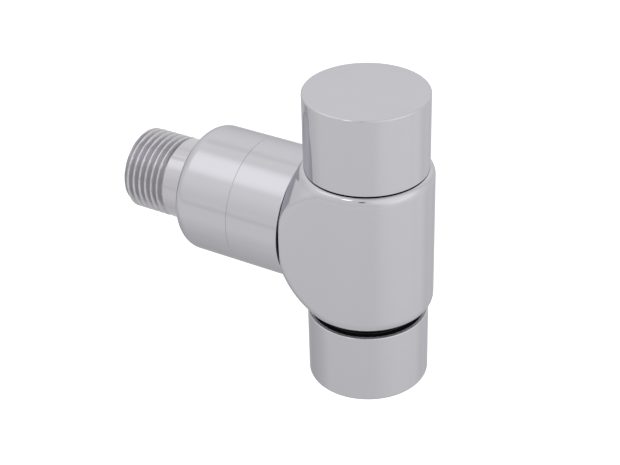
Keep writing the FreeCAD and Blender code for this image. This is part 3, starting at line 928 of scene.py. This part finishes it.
# Lamps and dark places on the tent: elevation, azimuth from -Y towards +X, full and outer radius in
# degrees, and how much brighter than the wall
tentSpots = {
    "softBox": (52, -62, 5, 22, 0.28),
    "softBoxHalo": (50, -60, 10, 50, 0.15),
    "frontLamp": (46, -10, 3, 10, 1.5),
    "backWindow": (15, -155, 15, 65, 0.16),
    "backFloor": (-25, -175, 10, 35, 0.09),
    "rightFloor": (-18, 100, 15, 58, 0.145),
    "rightWall": (28, 80, 15, 50, 0.25),
    "farRightFloor": (-38, 150, 8, 35, 0.06),
    "rightLow": (-44, 90, 5, 35, -0.06),
    "leftCorner": (-46, -90, 5, 30, -0.10),
    "underLight": (-70, -120, 10, 35, 0.05),
    "seam": (50, -126, 0, 7, -0.07),
    "backRightFold": (-29, 135, 5, 25, -0.07),
    "lensOpening": (31, 21, 3, 7, -0.75),
}


# Unit direction from an elevation and an azimuth in degrees
def aimed(elevation, azimuth):
    el, az = math.radians(elevation), math.radians(azimuth)
    return math.sin(az) * math.cos(el), -math.cos(az) * math.cos(el), math.sin(el)


# A soft step between two levels
def tentStep(tree, source, low, high, outLow, outHigh):
    return rangeNode(tree, source, low, high, outLow, outHigh, interpolation_type="SMOOTHSTEP")


# White light tent: even walls that darken below, a fold under the horizon, lamps and dark places
def buildTent(s, spots):
    world = bpy.data.worlds.new("lightTent")
    world.use_nodes = True
    tree = world.node_tree
    background = tree.nodes["Background"]
    background.inputs["Color"].default_value = (1, 1, 1, 1)
    direction = addNode(tree, "ShaderNodeTexCoord").outputs["Generated"]
    split = addNode(tree, "ShaderNodeSeparateXYZ")
    tree.links.new(direction, split.inputs["Vector"])
    height = split.outputs["Z"]
    away = mathNode(tree, "ABSOLUTE", mathNode(tree, "ADD", height, -s["foldHeight"]))
    level = mathNode(tree, "ADD",
                     tentStep(tree, height, s["dimTo"], s["dimFrom"], s["wall"] - s["floorDim"], s["wall"]),
                     tentStep(tree, away, s["foldInner"], s["foldOuter"], -s["fold"], 0.0))
    for elevation, azimuth, inner, outer, gain in spots.values():
        dot = addNode(tree, "ShaderNodeVectorMath", operation="DOT_PRODUCT")
        tree.links.new(direction, dot.inputs[0])
        dot.inputs[1].default_value = aimed(elevation, azimuth)
        edge, full = math.cos(math.radians(outer)), math.cos(math.radians(inner))
        level = mathNode(tree, "ADD", level, tentStep(tree, dot.outputs["Value"], edge, full, 0.0, gain))
    seen = addNode(tree, "ShaderNodeMix", data_type="FLOAT")
    tree.links.new(addNode(tree, "ShaderNodeLightPath").outputs["Is Camera Ray"], seen.inputs["Factor"])
    tree.links.new(mathNode(tree, "MULTIPLY", level, s["level"]), seen.inputs[2])
    seen.inputs[3].default_value = s["backdrop"]
    tree.links.new(seen.outputs[0], background.inputs["Strength"])
    bpy.context.scene.world = world


def buildFloor(s):
    floorZ = cadBox[0][2] - s["floorDrop"] * mm
    half = s["floorSize"] / 2
    mesh = bpy.data.meshes.new("floor")
    places = [(x * half, y * half, floorZ) for x, y in ((-1, -1), (1, -1), (1, 1), (-1, 1))]
    mesh.from_pydata(places, [], [(0, 1, 2, 3)])
    floor = bpy.data.objects.new("floor", mesh)
    bpy.context.scene.collection.objects.link(floor)
    material, tree, shader = startMaterial("paleFloor", 0.0, (s["floorWhite"],) * 3)
    shader.inputs["Roughness"].default_value = s["floorRoughness"]
    shader.inputs["Emission Color"].default_value = (*(s["floorGlow"],) * 3, 1)
    shader.inputs["Emission Strength"].default_value = 1.0
    mesh.materials.append(material)
    floor.visible_glossy = False


def buildCamera(s):
    az, roll = math.radians(s["azimuth"]), math.radians(s["roll"])
    back = Vector(aimed(s["elevation"], s["azimuth"]))
    right = Vector((math.cos(az), math.sin(az), 0))
    up = back.cross(right)
    right, up = right * math.cos(roll) + up * math.sin(roll), up * math.cos(roll) - right * math.sin(roll)
    data = bpy.data.cameras.new("camera")
    data.sensor_width = 36
    data.lens = s["lens"]
    data.shift_x, data.shift_y = s["shiftX"], s["shiftY"]
    data.clip_start = 0.01
    camera = bpy.data.objects.new("camera", data)
    bpy.context.scene.collection.objects.link(camera)
    turn = Matrix((right, up, back)).transposed().to_4x4()
    place = Vector((spindleX * mm, 0, 0)) + back * s["distance"] * mm
    camera.matrix_world = Matrix.Translation(place) @ turn
    bpy.context.scene.camera = camera


buildTent(studio, tentSpots)
buildFloor(studio)
buildCamera(studio)
bpy.context.scene.view_settings.view_transform = "Standard"
print("studio ready")
